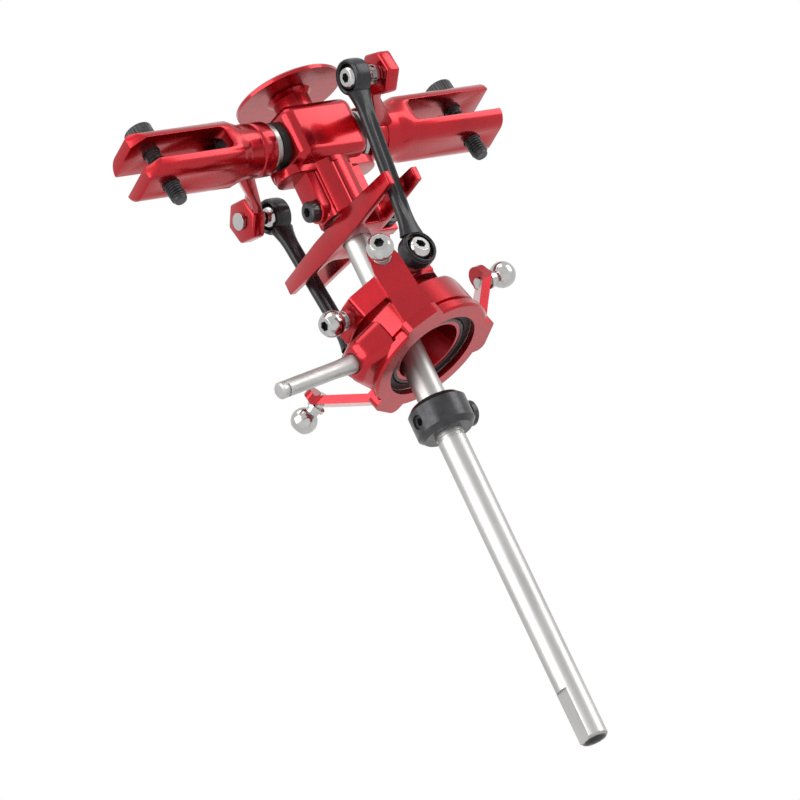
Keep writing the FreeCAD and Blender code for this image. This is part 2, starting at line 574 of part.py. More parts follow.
# ---- assembly -----------------------------------------------------------------------------
parts = {
    "main_shaft": main_shaft(),
    "shaft_collar": shaft_collar(),
    "collar_grub": collar_grub(),
    "collar_screw": collar_screw(),
    "head_block": head_block(),
    "hub_bolt": hub_bolt(),
    "head_button": head_button(),
    "button_screw": button_screw(),
    "follower_arm": follower_arm(),
    "follower_screw": follower_screw(),
    "feathering_spindle": aimed(feathering_spindle(), V(0, 0, FEATHER_Z), X_AXIS),
    "uniball": uniball(),
}

for side, turn, direction in (("right", FreeCAD.Placement(), X_AXIS), ("left", HALF_TURN, -X_AXIS)):
    axle = V(0, 0, FEATHER_Z)
    parts["damper_" + side] = aimed(damper(), axle, direction)
    parts["neck_washer_" + side] = aimed(neck_washer(), axle, direction)
    parts["spindle_screw_" + side] = aimed(spindle_screw(), axle, direction)
    parts["radial_bearing_" + side] = aimed(radial_bearing(), axle, direction)
    parts["thrust_bearing_" + side] = aimed(thrust_bearing(), axle, direction)
    parts["blade_grip_" + side] = posed(blade_grip(), turn, GRIP_POSE)
    parts["blade_bolt_" + side] = posed(blade_bolt(), turn, GRIP_POSE)
    parts["pitch_stud_" + side] = posed(pitch_stud(), turn, GRIP_POSE)

parts["link_front"] = link(ring_ball(270), pitch_ball(FreeCAD.Placement()))
parts["link_rear"] = link(ring_ball(90), pitch_ball(HALF_TURN))

tilted = {
    "uniball_liner": uniball_liner(),
    "rotor_ring": rotor_ring(),
    "rotor_retainer": rotor_retainer(),
    "bearing_inner_race": tube(RACE_IN, SLEEVE_R, RACE_LOW, RACE_HIGH, 0.2),
    "bearing_outer_race": tube(RACE_R, RACE_OUT, RACE_LOW, RACE_HIGH, 0.2),
    "bearing_shield_lower": bearing_shield(RACE_LOW + 0.1),
    "bearing_shield_upper": bearing_shield(RACE_HIGH - 0.5),
    "stator_ring": stator_ring(),
    "anti_rotation_pin": anti_rotation_pin(),
}
for name, angle in (("right", 0), ("rear", 90), ("left", 180), ("front", 270)):
    tilted["ring_stud_" + name] = ring_stud(angle)
for name, angle in ARM_ANGLES.items():
    tilted["servo_stud_" + name] = servo_stud(angle)
for name, shape in tilted.items():
    parts[name] = posed(shape, SWASH_POSE)

os.makedirs("parts", exist_ok=True)
for name, shape in parts.items():
    shape.exportStep("parts/" + name + ".step")
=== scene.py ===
import json
import math

import bmesh
import bpy
from mathutils import Matrix, Vector


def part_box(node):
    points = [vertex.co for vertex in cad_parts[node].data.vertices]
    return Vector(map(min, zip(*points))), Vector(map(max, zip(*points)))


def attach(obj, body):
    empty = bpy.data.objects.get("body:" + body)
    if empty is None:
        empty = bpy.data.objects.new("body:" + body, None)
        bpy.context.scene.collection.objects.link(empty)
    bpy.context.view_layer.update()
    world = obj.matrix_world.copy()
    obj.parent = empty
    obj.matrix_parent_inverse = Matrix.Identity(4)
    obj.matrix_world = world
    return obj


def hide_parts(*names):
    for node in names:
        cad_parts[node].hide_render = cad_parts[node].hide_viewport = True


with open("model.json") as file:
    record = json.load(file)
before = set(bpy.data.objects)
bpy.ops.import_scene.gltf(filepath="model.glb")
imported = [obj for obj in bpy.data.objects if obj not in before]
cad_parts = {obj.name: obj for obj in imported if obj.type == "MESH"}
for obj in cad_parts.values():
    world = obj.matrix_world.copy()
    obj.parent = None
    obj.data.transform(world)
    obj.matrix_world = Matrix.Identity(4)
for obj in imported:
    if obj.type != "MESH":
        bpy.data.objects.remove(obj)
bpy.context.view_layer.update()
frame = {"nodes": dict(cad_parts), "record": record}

MM = 0.001

# Shapes are drawn in millimetres in a local frame and placed in metres in the model's frame:
# +Z runs up the shaft and +X along the right-hand grip.
JOINTS = {joint["name"]: joint for joint in frame["record"]["behaviour"]["joints"]}


def joint_place(name):
    return Vector(JOINTS[name]["pos_m"])


def joint_axis(name):
    return Vector(JOINTS[name]["axis"]).normalized()


HEAD_AXLE = joint_place("spindle_rock")
TILT_CENTRE = joint_place("swash_tilt_x")
RING_UP = joint_axis("fixed_ring_spin")
RING_Y = joint_axis("swash_tilt_y")
RING_X = RING_Y.cross(RING_UP).normalized()
BACK = Vector((-0.60443, -0.72246, -0.33572))   # from the object towards the camera

SIDES = (("right", 0), ("left", 180))           # each grip and its turn about the shaft
SHAFT_R = 2.5
LINK_BALL = 13.2                                # shaft axis to the balls of the turning ring
BALL_R, BALL_FLAT_R = 2.3, 1.5                  # ball of each stud, and the flat at its tip
SERVO_BALL, SERVO_DROP = 24.4, 2.0              # swashplate axis to the servo balls, and how low they sit
SERVO_TURN = -4.5                               # first servo arm, in degrees about the swashplate's axis
PIN_TURN, PIN_HEIGHT = 175.5, -8.0              # anti-rotation pin in the swashplate
BLADE_BOLT_X = 31.9                             # shaft axis to the blade bolts
HUB_BOLT_HEIGHT = 103.3                         # clamp bolt of the head block's tube
FOLLOWER_HEIGHT = 98.6                          # middle of the follower arm
GRIP_LEAN = math.radians(-10.35)                # cyclic lean of both grips about X
ARM_DROOP = math.radians(3.65)                  # pitch arm below the plane of the blade slot
PITCH_ARM = 17.5                                # feathering axis to pitch ball


# ---- materials ----------------------------------------------------------------------------
class Finish:
    """A Principled material with grain in its colour and roughness, fine relief and soft edges."""

    COAT_ROUGHNESS = 0.12
    NOISE_DETAIL = 4
    NOISE_SPAN = (0.3, 0.7)       # where nearly all of a noise's values lie
    RELIEF_STRENGTH = 0.6
    EDGE_RADIUS, EDGE_SAMPLES = 0.12 * MM, 4

    def __init__(self, name, color, metallic, roughness, coat=0.0, specular=0.5):
        self.material = bpy.data.materials.new(name)
        self.material.use_nodes = True
        self.tree = self.material.node_tree
        self.shader = self.tree.nodes["Principled BSDF"]
        self.shader.inputs["Metallic"].default_value = metallic
        self.shader.inputs["Coat Weight"].default_value = coat
        self.shader.inputs["Coat Roughness"].default_value = self.COAT_ROUGHNESS
        self.shader.inputs["Specular IOR Level"].default_value = specular
        self.color, self.roughness = color, roughness
        self.coords = self.tree.nodes.new("ShaderNodeTexCoord").outputs["Object"]

    def link(self, source, target):
        self.tree.links.new(source, target)

    def noise(self, scale, stretch=(1, 1, 1)):
        mapping = self.tree.nodes.new("ShaderNodeMapping")
        mapping.inputs["Scale"].default_value = stretch
        self.link(self.coords, mapping.inputs["Vector"])
        noise = self.tree.nodes.new("ShaderNodeTexNoise")
        noise.inputs["Scale"].default_value = scale
        noise.inputs["Detail"].default_value = self.NOISE_DETAIL
        self.link(mapping.outputs["Vector"], noise.inputs["Vector"])
        return noise.outputs["Fac"]

    def ranged(self, value, low, high):
        span = self.tree.nodes.new("ShaderNodeMapRange")
        span.inputs["From Min"].default_value, span.inputs["From Max"].default_value = self.NOISE_SPAN
        span.inputs["To Min"].default_value = low
        span.inputs["To Max"].default_value = high
        self.link(value, span.inputs["Value"])
        return span.outputs["Result"]

    def vary_color(self, value, darker, lighter):
        """Colour between two shades of the base colour, at sockets 6 and 7 of a colour mix."""
        mix = self.tree.nodes.new("ShaderNodeMix")
        mix.data_type = "RGBA"
        mix.inputs[6].default_value = [c * darker for c in self.color] + [1]
        mix.inputs[7].default_value = [min(c * lighter, 1) for c in self.color] + [1]
        self.link(self.ranged(value, 0, 1), mix.inputs[0])
        self.link(mix.outputs[2], self.shader.inputs["Base Color"])

    def vary_roughness(self, value, spread):
        low, high = self.roughness - spread, self.roughness + spread
        self.link(self.ranged(value, low, high), self.shader.inputs["Roughness"])

    def relief(self, value, depth):
        """Fine bump, over edges that are rounded in the shading."""
        bump = self.tree.nodes.new("ShaderNodeBump")
        bump.inputs["Strength"].default_value = self.RELIEF_STRENGTH
        bump.inputs["Distance"].default_value = depth
        bevel = self.tree.nodes.new("ShaderNodeBevel")
        bevel.samples = self.EDGE_SAMPLES
        bevel.inputs["Radius"].default_value = self.EDGE_RADIUS
        self.link(bevel.outputs["Normal"], bump.inputs["Normal"])
        self.link(value, bump.inputs["Height"])
        self.link(bump.outputs["Normal"], self.shader.inputs["Normal"])


def anodised_red():
    f = Finish("anodised_red", (0.37, 0.0030, 0.0100), 0.88, 0.26, coat=0.45)
    f.vary_color(f.noise(160), 0.88, 1.08)
    f.vary_roughness(f.noise(900, (1, 1, 0.3)), 0.04)
    f.relief(f.noise(3500, (1, 0.4, 1)), 0.0015 * MM)
    return f.material


def ground_steel():
    f = Finish("ground_steel", (0.43, 0.425, 0.415), 1.0, 0.40)
    f.vary_color(f.noise(240, (1, 1, 0.2)), 0.88, 1.08)
    f.vary_roughness(f.noise(1500, (1, 1, 0.1)), 0.05)
    f.relief(f.noise(5000, (1, 1, 0.05)), 0.0015 * MM)
    return f.material


def polished_steel():
    f = Finish("polished_steel", (0.46, 0.455, 0.445), 1.0, 0.17)
    f.vary_color(f.noise(700), 0.90, 1.08)
    f.vary_roughness(f.noise(1800), 0.05)
    f.relief(f.noise(4000), 0.0015 * MM)
    return f.material


# Painted shade: steel darkened for the bearing's inner race, which sits in shade inside the swashplate's
# bore.
def race_shade_steel():
    f = Finish("race_shade_steel", (0.045, 0.044, 0.044), 0.8, 0.35)
    f.vary_color(f.noise(900), 0.7, 1.4)
    f.vary_roughness(f.noise(2400), 0.08)
    f.relief(f.noise(4500), 0.002 * MM)
    return f.material


def black_oxide():
    f = Finish("black_oxide", (0.024, 0.024, 0.026), 0.35, 0.30)
    f.vary_color(f.noise(700), 0.7, 1.6)
    f.vary_roughness(f.noise(2200), 0.08)
    f.relief(f.noise(3600), 0.004 * MM)
    return f.material


def link_nylon():
    f = Finish("link_nylon", (0.009, 0.009, 0.011), 0.0, 0.27, specular=0.35)
    f.vary_color(f.noise(500), 0.7, 1.6)
    f.vary_roughness(f.noise(1600), 0.06)
    f.relief(f.noise(2600), 0.004 * MM)
    return f.material


def damper_rubber():
    f = Finish("damper_rubber", (0.012, 0.012, 0.012), 0.0, 0.60, specular=0.30)
    f.vary_color(f.noise(600), 0.7, 1.5)
    f.vary_roughness(f.noise(1500), 0.08)
    f.relief(f.noise(4000), 0.006 * MM)
    return f.material


def bearing_dark():
    f = Finish("bearing_dark", (0.010, 0.009, 0.009), 0.2, 0.45, specular=0.25)
    f.vary_color(f.noise(800), 0.7, 1.5)
    f.vary_roughness(f.noise(2500), 0.08)
    f.relief(f.noise(4000), 0.004 * MM)
    return f.material


def liner_bronze():
    f = Finish("liner_bronze", (0.42, 0.28, 0.12), 1.0, 0.36)
    f.vary_color(f.noise(600), 0.8, 1.15)
    f.vary_roughness(f.noise(1800), 0.08)
    f.relief(f.noise(4000), 0.004 * MM)
    return f.material


FINISHES = {
    "anodised_red": anodised_red(), "steel": ground_steel(), "black_oxide": black_oxide(),
    "link_plastic": link_nylon(), "damper_rubber": damper_rubber(), "bearing_dark": bearing_dark(),
    "liner_brass": liner_bronze(),
}
STUD_STEEL, RACE_SHADE_STEEL = polished_steel(), race_shade_steel()


def dress_cad_nodes():
    """Shades each solid of the frame by its slot, with polished studs and an inner race in steel darkened as
    painted shade.
    """
    for part in frame["record"]["subparts"]:
        node = part["node"]
        finish = FINISHES[part["material_slot"]]
        if "stud" in node:
            finish = STUD_STEEL
        # Painted shade: the inner race takes the darkened steel, not the light steel.
        if node == "bearing_inner_race":
            finish = RACE_SHADE_STEEL
        for slot in frame["nodes"][node].material_slots:
            slot.material = finish


# ---- mesh helpers -------------------------------------------------------------------------
SHADED_SHARP = math.radians(38)                 # edges from this angle on stay sharp in the shading
EASED_FROM = math.radians(40)                   # edges above this angle are chamfered by eased()
WELD = 0.002                                    # points closer than this become one before a chamfer


def ring_angles(steps):
    return [2 * math.pi * i / steps for i in range(steps)]


def smoothed(mesh):
    for face in mesh.polygons:
        face.use_smooth = True
    mesh.set_sharp_from_angle(angle=SHADED_SHARP)


def made(name, bm):
    """Object from a mesh under construction, with all its faces outward."""
    bmesh.ops.recalc_face_normals(bm, faces=bm.faces)
    mesh = bpy.data.meshes.new(name)
    bm.to_mesh(mesh)
    bm.free()
    obj = bpy.data.objects.new(name, mesh)
    bpy.context.scene.collection.objects.link(obj)
    return obj


def lofted(name, rings):
    """Closed mesh through rings of equally many points."""
    bm = bmesh.new()
    loops = [[bm.verts.new(point) for point in ring] for ring in rings]
    for one, two in zip(loops, loops[1:]):
        for i in range(len(one)):
            j = (i + 1) % len(one)
            bm.faces.new((one[i], one[j], two[j], two[i]))
    bm.faces.new(list(reversed(loops[0])))
    bm.faces.new(loops[-1])
    return made(name, bm)


def lathe(name, profile, steps, axis="Z", closed=False):
    """Turned body from (radius, height) corners; a closed profile makes a ring."""
    bm = bmesh.new()
    loops = []
    for angle in ring_angles(steps):
        loop = []
        for radius, height in profile:
            point = Vector((radius * math.cos(angle), radius * math.sin(angle), height))
            loop.append(bm.verts.new({"Z": point, "X": point.zxy, "Y": point.yzx}[axis]))
        loops.append(loop)
    count = len(profile)
    for i in range(steps):
        one, two = loops[i], loops[(i + 1) % steps]
        for j in range(count if closed else count - 1):
            k = (j + 1) % count
            bm.faces.new((one[j], one[k], two[k], two[j]))
    if not closed:
        bm.faces.new([loop[0] for loop in reversed(loops)])
        bm.faces.new([loop[-1] for loop in loops])
    return made(name, bm)


def prism(name, outline, depth, bevel=0.0, segments=2):
    """Straight extrusion of a flat outline (three-component points), its edges rounded by bevel."""
    bm = bmesh.new()
    face = bm.faces.new([bm.verts.new(point) for point in outline])
    extruded = bmesh.ops.extrude_face_region(bm, geom=[face])
    far_side = [v for v in extruded["geom"] if isinstance(v, bmesh.types.BMVert)]
    bmesh.ops.translate(bm, verts=far_side, vec=depth)
    if bevel:
        bmesh.ops.recalc_face_normals(bm, faces=bm.faces)
        bmesh.ops.bevel(bm, geom=bm.edges[:], offset=bevel, segments=segments, profile=0.5,
                        affect="EDGES", clamp_overlap=True)
    return made(name, bm)


def box(name, x, y, z, bevel=0.0, segments=2):
    """Box between the two values given for each axis."""
    outline = [(x[0], y[0], z[0]), (x[1], y[0], z[0]), (x[1], y[1], z[0]), (x[0], y[1], z[0])]
    return prism(name, outline, (0, 0, z[1] - z[0]), bevel, segments)


def moved(body, x=0.0, y=0.0, z=0.0):
    body.data.transform(Matrix.Translation((x, y, z)))
    return body


def joined(body, tools, operation):
    """Boolean of one body with others, which are used up."""
    for tool in tools:
        change = body.modifiers.new("join", "BOOLEAN")
        change.operation, change.solver, change.object = operation, "EXACT", tool
    graph = bpy.context.evaluated_depsgraph_get()
    mesh = bpy.data.meshes.new_from_object(body.evaluated_get(graph))
    body.modifiers.clear()
    body.data = mesh
    for tool in tools:
        bpy.data.objects.remove(tool)
    return body


def ordered(body):
    """Sorts the points and faces of a boolean's result, because their order varies from run to run."""
    old = body.data
    order = sorted(range(len(old.vertices)), key=lambda i: tuple(old.vertices[i].co))
    rank = {i: place for place, i in enumerate(order)}
    faces = []
    for face in old.polygons:
        corners = [rank[i] for i in face.vertices]
        first = corners.index(min(corners))
        faces.append(corners[first:] + corners[:first])
    body.data = bpy.data.meshes.new(old.name)
    body.data.from_pydata([old.vertices[i].co for i in order], [], sorted(faces))
    return body


def eased(body, width):
    """Small real chamfer on every sharp edge, after the boolean's leftover edges are dissolved."""
    bm = bmesh.new()
    bm.from_mesh(body.data)
    bmesh.ops.remove_doubles(bm, verts=bm.verts, dist=WELD)
    bmesh.ops.dissolve_degenerate(bm, edges=bm.edges, dist=WELD)
    bmesh.ops.dissolve_limit(bm, angle_limit=math.radians(1), verts=bm.verts, edges=bm.edges)
    sharp = [e for e in bm.edges if len(e.link_faces) == 2 and e.calc_face_angle() > EASED_FROM]
    bmesh.ops.bevel(bm, geom=sharp, offset=width, segments=2, profile=0.5, affect="EDGES",
                    clamp_overlap=True)
    bmesh.ops.triangulate(bm, faces=[f for f in bm.faces if len(f.verts) > 4])
    bm.to_mesh(body.data)
    bm.free()
    return body


def finished(body, place, slot, rides, replaces=()):
    """Places a piece drawn in millimetres, shades it and fixes it to its body."""
    body.data.transform(place @ Matrix.Scale(MM, 4))
    body.data.materials.clear()
    body.data.materials.append(FINISHES[slot])
    smoothed(body.data)
    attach(body, rides)
    if replaces:
        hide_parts(*replaces)
    return body


def frame_of(origin, along, across):
    """Placement with Z along one direction and X as near as may be to another."""
    z = along.normalized()
    x = (across - across.project(z)).normalized()
    turn = Matrix((x, z.cross(x), z)).transposed().to_4x4()
    return Matrix.Translation(origin) @ turn


def around(angle):
    """Placement in the swashplate, turned about its axis; X points outward."""
    ring = Matrix((RING_X, RING_Y, RING_UP)).transposed().to_4x4()
    return Matrix.Translation(TILT_CENTRE) @ ring @ Matrix.Rotation(math.radians(angle), 4, "Z")


# ---- screws -------------------------------------------------------------------------------
def hex_bore(name, across, low, high):
    """Hexagonal bar along Z, by its width across the flats."""
    radius = across / math.sqrt(3)
    outline = [(radius * math.cos(math.radians(a)), radius * math.sin(math.radians(a)), low)
               for a in range(0, 360, 60)]
    return prism(name, outline, (0, 0, high - low))


def knurled_head(name, radius, height, socket, teeth=24):
    """Cap screw head on z 0: straight knurl, chamfered top and a hexagonal socket."""
    depth, per_tooth = 0.055 * radius, 4
    # height, radius, and depth of the knurl's grooves
    sections = [(0, radius - 0.1, 0), (0.12, radius, depth), (height - 0.35, radius, depth),
                (height - 0.2, radius - 0.05, 0), (height, radius - 0.22 * radius, 0)]
    rings = []
    for z, r, groove in sections:
        ring = []
        for i, angle in enumerate(ring_angles(teeth * per_tooth)):
            cut = groove if i % per_tooth == 0 else 0
            ring.append(((r - cut) * math.cos(angle), (r - cut) * math.sin(angle), z))
        rings.append(ring)
    head = lofted(name, rings)
    return joined(head, [hex_bore(name + "_hex", socket, 0.35 * height, height + 1)], "DIFFERENCE")


def threaded_shank(name, radius, pitch, low, high=0.2, plain=-3.0):
    """Screw shank along Z: a core with a plain part above, and a helical ridge that fades at both ends."""
    depth, margin, steps, sliver = 0.6 * pitch, 0.6 * pitch, 20, 0.02
    core = radius - depth
    root = core - 0.15
    shank = lathe(name, [(root, low), (core, low + 0.2), (core, plain), (radius, plain + 0.2),
                         (radius, high)], 32)
    ridge_half, crest_half = 0.48 * pitch, 0.07 * pitch
    turns = (plain - low - 2 * margin) / pitch
    rings = []
    for i in range(int(turns * steps) + 1):
        angle = 2 * math.pi * i / steps
        fade = min(1.0, i / steps + sliver, turns - i / steps + sliver)
        z = low + margin + pitch * i / steps
        crest = core + depth * fade
        rings.append([(r * math.cos(angle), r * math.sin(angle), z + dz) for r, dz in
                      ((root, -ridge_half), (crest, -crest_half), (crest, crest_half), (root, ridge_half))])
    return [shank, lofted(name + "_helix", rings)]


def one_mesh(name, parts):
    """Several shapes as one mesh."""
    bm = bmesh.new()
    for part in parts:
        bm.from_mesh(part.data)
        bpy.data.objects.remove(part)
    return made(name, bm)


def blade_bolts():
    """M3 cap screws down through the forks of the grips."""
    for side, turn in SIDES:
        parts = [knurled_head("head_" + side, radius=2.5, height=2.9, socket=2.5)]
        parts += threaded_shank("shank_" + side, radius=1.45, pitch=0.5, low=-13.0)
        bolt = one_mesh("blade_bolt_" + side + "_threaded", parts)
        place = grip_frame(turn) @ Matrix.Translation(Vector((BLADE_BOLT_X, 0, FORK_HALF_Z)) * MM)
        finished(bolt, place, "black_oxide", "grip_" + side, ["blade_bolt_" + side])


def hub_bolt():
    """M2 cap screw across the head block's tube, its head at -X."""
    head = 1.7
    low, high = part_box("hub_bolt")
    seat = Vector((low.x + head * MM, 0, HUB_BOLT_HEIGHT * MM))
    place = frame_of(seat, Vector((-1, 0, 0)), Vector((0, 0, 1)))
    length = (high.x - low.x) / MM - head
    parts = [knurled_head("hub_head", radius=1.8, height=head, socket=1.5, teeth=18)]
    parts += threaded_shank("hub_shank", radius=0.92, pitch=0.4, low=-length)
    finished(one_mesh("hub_bolt_threaded", parts), place, "black_oxide", "head", ["hub_bolt"])


def stud_sockets():
    """Hexagonal recesses in the ball studs, lined in black as painted shade."""
    balls = [("ring_stud_" + name, "turning_ring", angle, LINK_BALL, 0.0)
             for name, angle in (("right", 0), ("rear", 90), ("left", 180), ("front", 270))]
    balls += [("servo_stud_" + name, "fixed_ring", SERVO_TURN + angle, SERVO_BALL, -SERVO_DROP)
              for name, angle in (("right", 0), ("near", -120), ("far", 120))]
    for name, body, angle, reach, height in balls:
        place = around(angle) @ Matrix.Translation(Vector((reach, 0, height)) * MM)
        socket_shade_lining(name + "_socket", place @ Matrix.Rotation(math.radians(90), 4, "Y"), body)
    for side, turn in SIDES:
        place = grip_frame(turn) @ Matrix.Rotation(ARM_DROOP, 4, "X")
        place = place @ Matrix.Translation(Vector((0, -PITCH_ARM, 0)) * MM)
        socket_shade_lining("pitch_stud_" + side + "_socket", place @ Matrix.Rotation(math.radians(-90), 4, "Y"),
                   "stud_" + side)


def socket_shade_lining(name, place, body):
    """Wall and floor of a hexagonal socket, a hair proud of the flat at a ball's tip, black as painted
    shade.
    """
    outer, inner, depth, floor_thick, proud = 1.56, 1.40, 1.0, 0.2, 0.015
    tip = math.sqrt(BALL_R ** 2 - BALL_FLAT_R ** 2)
    wall = hex_bore(name, outer, tip - depth - floor_thick, tip + proud)
    hollow = hex_bore(name + "_in", inner, tip - depth, tip + 1)
    # Painted shade: the socket's lining takes the black screw finish, not the stud's steel.
    finished(joined(wall, [hollow], "DIFFERENCE"), place, "black_oxide", body)


# ---- blade grips --------------------------------------------------------------------------
NECK_FACE, NECK_R, NECK_END = 10.0, 4.7, 16.0
FORK_TIP, FORK_HALF_Y, FORK_HALF_Z, FORK_ROUND = 37.4, 4.9, 4.7, 2.7
SLOT_FLOOR, SLOT_HALF = 19.3, 2.3
WELL_R, WELL_END = 4.0, 16.6                    # bore for the grip's bearings
SCREW_WELL_R = 3.0                              # bore for the spindle's end screw
BOLT_HOLE_R = 1.55                              # hole for the blade bolt
FORK_CUT = 3.4                                  # corner cut off the fork's tip
LUG_X, LUG_THICK, LUG_R, LUG_HOLE_R = 5.7, 2.6, 4.0, 1.05
THROUGH = 8.0                                   # half length of a cutter that goes right through a grip


def grip_frame(turn):
    """Placement in a grip: X along it, Z square to its blade slot."""
    return (Matrix.Translation(HEAD_AXLE) @ Matrix.Rotation(GRIP_LEAN, 4, "X")
            @ Matrix.Rotation(math.radians(turn), 4, "Z"))


def rounded_radius(angle, a, b, corner):
    """Distance from the centre to a rounded rectangle in a direction."""
    c, s = abs(math.cos(angle)), abs(math.sin(angle))
    reach = min(a / max(c, 1e-9), b / max(s, 1e-9))
    if reach * c > a - corner and reach * s > b - corner:
        dot = c * (a - corner) + s * (b - corner)
        reach = dot + math.sqrt(max(dot * dot - (a - corner) ** 2 - (b - corner) ** 2 + corner ** 2, 0))
    return reach


def grip_body(name):
    """Turned neck with a groove, which grows into a bar with rounded edges."""
    groove, chamfer, edge = -0.22, 0.3, 0.35
    # distance from the shaft, share of the bar's outline, and change of the radius
    sections = [(NECK_FACE, 0, -chamfer), (NECK_FACE + chamfer, 0, 0),
                (12.6, 0, 0), (12.8, 0, groove), (13.1, 0, groove), (13.3, 0, 0),
                (NECK_END - 0.4, 0, 0), (NECK_END, 0.12, 0), (17.0, 0.6, 0), (18.0, 1, 0),
                (FORK_TIP - edge, 1, 0), (FORK_TIP, 1, -edge)]
    rings = []
    for x, square, change in sections:
        ring = []
        for angle in ring_angles(72):
            bar = rounded_radius(angle, FORK_HALF_Y, FORK_HALF_Z, FORK_ROUND)
            r = NECK_R + (bar - NECK_R) * square + change
            ring.append((x, r * math.cos(angle), r * math.sin(angle)))
        rings.append(ring)
    return lofted(name, rings)


def pitch_arm(name):
    """Arm from the neck to its hexagonal lug, waisted in between and bored for the ball stud."""
    inner, outer = LUG_X - LUG_THICK / 2, LUG_X + LUG_THICK / 2
    half, inset, arm_edge, lug_edge = 1.8, 0.3, 0.35, 0.45
    root_near, root_far, root_y = 10.3, 14.0, -2.5
    outline = [(root_near, root_y), (root_far, root_y), (root_far - 0.1, -5.2), (outer + 0.4, -12.6),
               (outer - inset, -14.6), (outer - inset, -PITCH_ARM), (inner + inset, -PITCH_ARM),
               (inner + inset, -14.4), (inner + 1.4, -12.4), (root_near, -5.4)]
    arm = prism(name, [(x, y, -half) for x, y in outline], (0, 0, 2 * half), arm_edge)
    corners = [(inner, LUG_R * math.cos(math.radians(a)) - PITCH_ARM, LUG_R * math.sin(math.radians(a)))
               for a in range(30, 390, 60)]
    lug = prism("lug", corners, (LUG_THICK, 0, 0), lug_edge, segments=3)
    hole = moved(lathe("hole", [(LUG_HOLE_R, 0), (LUG_HOLE_R, 12)], 24, "X"), y=-PITCH_ARM)
    inside = lathe("inside", [(NECK_R - 0.3, 8), (NECK_R - 0.3, 18)], 48, "X")
    return joined(joined(arm, [lug], "UNION"), [inside, hole], "DIFFERENCE")


def blade_grips():
    """Each grip with its slot, bores and cut tip, and its pitch arm as a second piece."""
    for side, turn in SIDES:
        name = "blade_grip_" + side
        grip = grip_body(name + "_rounded")
        cavity = lathe("cavity", [(WELL_R, NECK_FACE - 1), (WELL_R, WELL_END), (SCREW_WELL_R, WELL_END),
                                  (SCREW_WELL_R, SLOT_FLOOR + 1)], 48, "X")
        slot = box("slot", (SLOT_FLOOR, FORK_TIP + 4), (-THROUGH, THROUGH), (-SLOT_HALF, SLOT_HALF),
                   bevel=1.1, segments=4)
        bore = moved(lathe("bore", [(BOLT_HOLE_R, -THROUGH), (BOLT_HOLE_R, THROUGH)], 32), x=BLADE_BOLT_X)
        corner = prism("corner", [(FORK_TIP + 1, FORK_HALF_Y - FORK_CUT, -THROUGH),
                                  (FORK_TIP + 1, FORK_HALF_Y + 1, -THROUGH),
                                  (FORK_TIP - FORK_CUT, FORK_HALF_Y + 1, -THROUGH)], (0, 0, 2 * THROUGH))
        grip = joined(grip, [cavity, slot, bore, corner], "DIFFERENCE")
        place = grip_frame(turn)
        finished(eased(grip, width=0.22), place, "anodised_red", "grip_" + side, [name])
        droop = place @ Matrix.Rotation(ARM_DROOP, 4, "X")
        finished(pitch_arm("pitch_arm_" + side), droop, "anodised_red", "grip_" + side)


# ---- ball links ---------------------------------------------------------------------------
EYE_R, ROD_START = 3.1, 2.8                     # eye's radius, and where the rod starts inside its wall
ROD_WIDE, ROD_THICK = 1.45, 0.98                # half sizes of the rod between its flares
FLUTE_HALF, FLUTE_DEPTH = 0.62, 0.48            # half width, and depth as a share of the thickness
LOWER_EYE, UPPER_EYE = (1.5, 2.52), (1.65, 2.36)    # half length and bore; the lower lets its ball move


def link_rod(name, length):
    """Moulded rod with a soft flute along both broad faces, flared into its two eyes."""
    stations, power = 24, 0.8
    flare_rate, flute_rate, flute_gap = 6.5, 8, 0.9
    rings = []
    for i in range(stations + 1):
        t = i / stations
        z = ROD_START + (length - 2 * ROD_START) * t
        flare = max(0.0, 1 - flare_rate * t) ** 2 + max(0.0, 1 - flare_rate * (1 - t)) ** 2
        flute = min(1.0, max(0.0, flute_rate * t - flute_gap), max(0.0, flute_rate * (1 - t) - flute_gap))
        wide, thick = ROD_WIDE + 0.75 * flare, ROD_THICK + 0.25 * flare
        ring = []
        for angle in ring_angles(40):
            c, s = math.cos(angle), math.sin(angle)
            x = wide * math.copysign(abs(c) ** power, c)
            dent = 1 - FLUTE_DEPTH * flute * math.exp(-(x / FLUTE_HALF) ** 4)
            ring.append((x, thick * math.copysign(abs(s) ** power, s) * dent, z))
        rings.append(ring)
    return lofted(name, rings)


def link_eye(name, half, bore):
    """Barrel-shaped ring round a ball, with a raised lip on each mouth."""
    lip, step = 0.25, EYE_R - 0.15
    mouth = [(bore, 0.35), (bore + 0.3, 0), (EYE_R - 0.5, 0), (step, 0.2), (step, 0.2 + lip),
             (EYE_R, 0.35 + lip)]               # radius, and depth below the end face
    lower = [(r, depth - half) for r, depth in mouth]
    upper = [(r, half - depth) for r, depth in reversed(mouth)]
    return lathe(name, lower + [(EYE_R + 0.08, 0)] + upper, 56, closed=True)


def ball_links():
    """Links from the turning ring's front and rear balls up to the balls of the pitch arms."""
    for name, side in (("front", -1), ("rear", 1)):
        foot = TILT_CENTRE + side * RING_Y * LINK_BALL * MM
        run = joint_place(name + "_link_swing") - foot
        length = run.length / MM
        place = frame_of(foot, run, Vector((1, 0, 0)))
        local = place.to_3x3().inverted()
        eyes = []
        for label, height, axis, size in (("lower", 0, Vector((0, 1, 0)), LOWER_EYE),
                                          ("upper", length, Vector((1, 0, 0)), UPPER_EYE)):
            eye = link_eye(label, *size)
            turn = (local @ axis).to_track_quat("Z", "Y").to_matrix().to_4x4()
            eye.data.transform(Matrix.Translation((0, 0, height)) @ turn)
            eyes.append(eye)
        whole = one_mesh("link_" + name + "_moulded", [link_rod("rod", length)] + eyes)
        finished(whole, place, "link_plastic", name + "_link", ["link_" + name])


